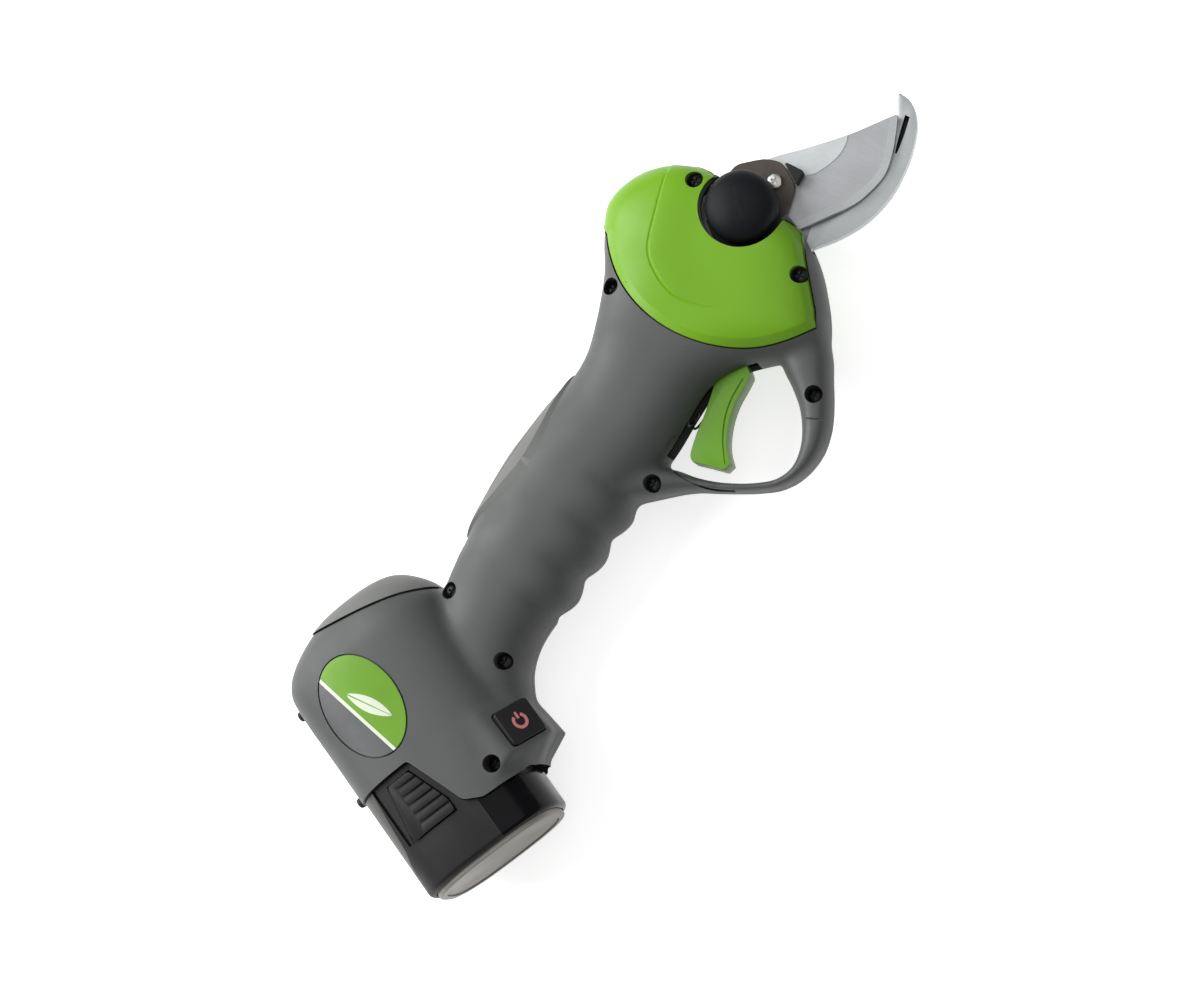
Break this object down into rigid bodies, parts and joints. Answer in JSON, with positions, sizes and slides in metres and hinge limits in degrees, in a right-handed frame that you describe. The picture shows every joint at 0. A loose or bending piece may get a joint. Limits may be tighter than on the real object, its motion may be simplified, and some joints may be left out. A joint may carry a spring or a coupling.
{
  "type": "battery electric pruner",
  "caption": "Pistol-grip cordless pruner: hooked counter blade and powered bypass blade, trigger in a closed guard, and a slide-on battery foot.",
  "frame": {"origin": "under the middle of the tool as it lies on its left side", "axes": "+X along the handle from the foot to the blade, +Y to the back of the handle, +Z to the tool's right side"},
  "size_m": [0.3302, 0.1276, 0.0527],
  "materials": {
    "housing": "satin moulded grey nylon with a fine grain",
    "green": "satin lime green moulded plastic",
    "black": "black moulded plastic, fine grain",
    "badge": "glossy insert, lime green over charcoal",
    "rubber": "black elastomer",
    "grip": "grey elastomer pad",
    "blade_steel": "ground blade steel, bright edge",
    "bronzed_steel": "dark bronze coated steel",
    "screw_steel": "zinc plated steel",
    "black_screw": "blackened steel",
    "bush_bronze": "oiled sintered bronze",
    "copper_board": "green circuit board",
    "cell_wrap": "shrink wrapped cell",
    "end_plate": "silver-beige moulded end plate"
  },
  "bodies": {
    "housing": {"housing_right": "housing", "housing_left": "housing", "head_cover_right": "green", "head_cover_left": "green", "palm_pad": "grip", "heel_bumper": "grip", "badge": "badge", "stud_upper": "rubber", "stud_lower": "rubber", "cover_screw_back": "black_screw", "cover_screw_front": "black_screw", "guard_screw": "black_screw", "grip_screw_front": "black_screw", "grip_screw_low": "black_screw", "foot_screw": "black_screw", "neck_screw_back": "black_screw", "grip_screw_back": "black_screw", "fixed_blade": "blade_steel", "hook_screw_1": "screw_steel", "hook_screw_2": "screw_steel", "pivot_bush": "bush_bronze", "output_bush": "bush_bronze", "ring_gear": "screw_steel", "motor_can": "screw_steel", "trigger_pin": "screw_steel", "trigger_spring": "screw_steel", "trigger_sensor": "copper_board", "button_switch": "black", "control_board": "copper_board", "terminal_block": "black", "wire_loom": "black"},
    "blade": {"moving_blade": "blade_steel", "pivot_bolt": "screw_steel", "pivot_nut": "screw_steel", "pivot_cap": "black", "clamp_plate": "bronzed_steel", "clamp_screw": "screw_steel", "blade_stop": "rubber", "bevel_sector": "blade_steel", "sector_screw_1": "screw_steel", "sector_screw_2": "screw_steel"},
    "drive_output": {"bevel_pinion": "blade_steel", "planet_carrier": "screw_steel"},
    "planet_1": {"planet_gear_1": "screw_steel"},
    "planet_2": {"planet_gear_2": "screw_steel"},
    "planet_3": {"planet_gear_3": "screw_steel"},
    "motor": {"motor_rotor": "blade_steel", "sun_gear": "screw_steel"},
    "trigger": {"trigger": "green"},
    "power_button": {"power_button": "black"},
    "battery": {"battery_case": "black", "battery_end_plate": "end_plate", "cell_1": "cell_wrap", "cell_2": "cell_wrap", "cell_3": "cell_wrap", "cell_4": "cell_wrap", "release_spring_left": "screw_steel", "release_spring_right": "screw_steel"},
    "release_right": {"release_button_right": "black"},
    "release_left": {"release_button_left": "black"}
  },
  "joints": [
    {"name": "blade_pivot", "type": "hinge", "parent": "housing", "child": "blade", "pos_m": [0.1007, 0.00245, 0.02618], "axis": [0, 0, 1], "range_deg": [0, 50]},
    {"name": "drive_turn", "type": "hinge", "parent": "housing", "child": "drive_output", "pos_m": [0.1007, 0.00245, 0.02618], "axis": [-0.9981, 0.061, 0], "range_deg": [0, 250]},
    {"name": "planet_1_turn", "type": "hinge", "parent": "drive_output", "child": "planet_1", "pos_m": [0.03631, 0.0144, 0.02618], "axis": [-0.9981, 0.061, 0], "range_deg": [-750, 0]},
    {"name": "planet_2_turn", "type": "hinge", "parent": "drive_output", "child": "planet_2", "pos_m": [0.03558, 0.00243, 0.03311], "axis": [-0.9981, 0.061, 0], "range_deg": [-750, 0]},
    {"name": "planet_3_turn", "type": "hinge", "parent": "drive_output", "child": "planet_3", "pos_m": [0.03558, 0.00243, 0.01925], "axis": [-0.9981, 0.061, 0], "range_deg": [-750, 0]},
    {"name": "motor_turn", "type": "hinge", "parent": "housing", "child": "motor", "pos_m": [0.1007, 0.00245, 0.02618], "axis": [-0.9981, 0.061, 0], "range_deg": [0, 1000]},
    {"name": "trigger_pull", "type": "hinge", "parent": "housing", "child": "trigger", "pos_m": [0.0537, -0.01955, 0.02618], "axis": [0, 0, -1], "range_deg": [0, 12], "stiffness_Nm_per_rad": 0.3, "springref_deg": -5.73, "deforming": ["trigger_spring"]},
    {"name": "button_press", "type": "slide", "parent": "housing", "child": "power_button", "axis": [-0.5837, 0.2478, -0.7733], "range_m": [0, 0.001], "stiffness_N_per_m": 800, "springref_m": -0.0005},
    {"name": "battery_slide", "type": "slide", "parent": "housing", "child": "battery", "axis": [-0.3907, -0.9205, 0], "range_m": [0, 0.08]},
    {"name": "release_right_press", "type": "slide", "parent": "battery", "child": "release_right", "axis": [0, 0, -1], "range_m": [0, 0.0012], "stiffness_N_per_m": 1000, "springref_m": -0.0005, "deforming": ["release_spring_right"]},
    {"name": "release_left_press", "type": "slide", "parent": "battery", "child": "release_left", "axis": [0, 0, 1], "range_m": [0, 0.0012], "stiffness_N_per_m": 1000, "springref_m": -0.0005, "deforming": ["release_spring_left"]}
  ],
  "couplings": [
    {"joint": "drive_turn", "follows": "blade_pivot", "ratio": 5},
    {"joint": "planet_1_turn", "follows": "blade_pivot", "ratio": -15},
    {"joint": "planet_2_turn", "follows": "blade_pivot", "ratio": -15},
    {"joint": "planet_3_turn", "follows": "blade_pivot", "ratio": -15},
    {"joint": "motor_turn", "follows": "blade_pivot", "ratio": 20}
  ]
}
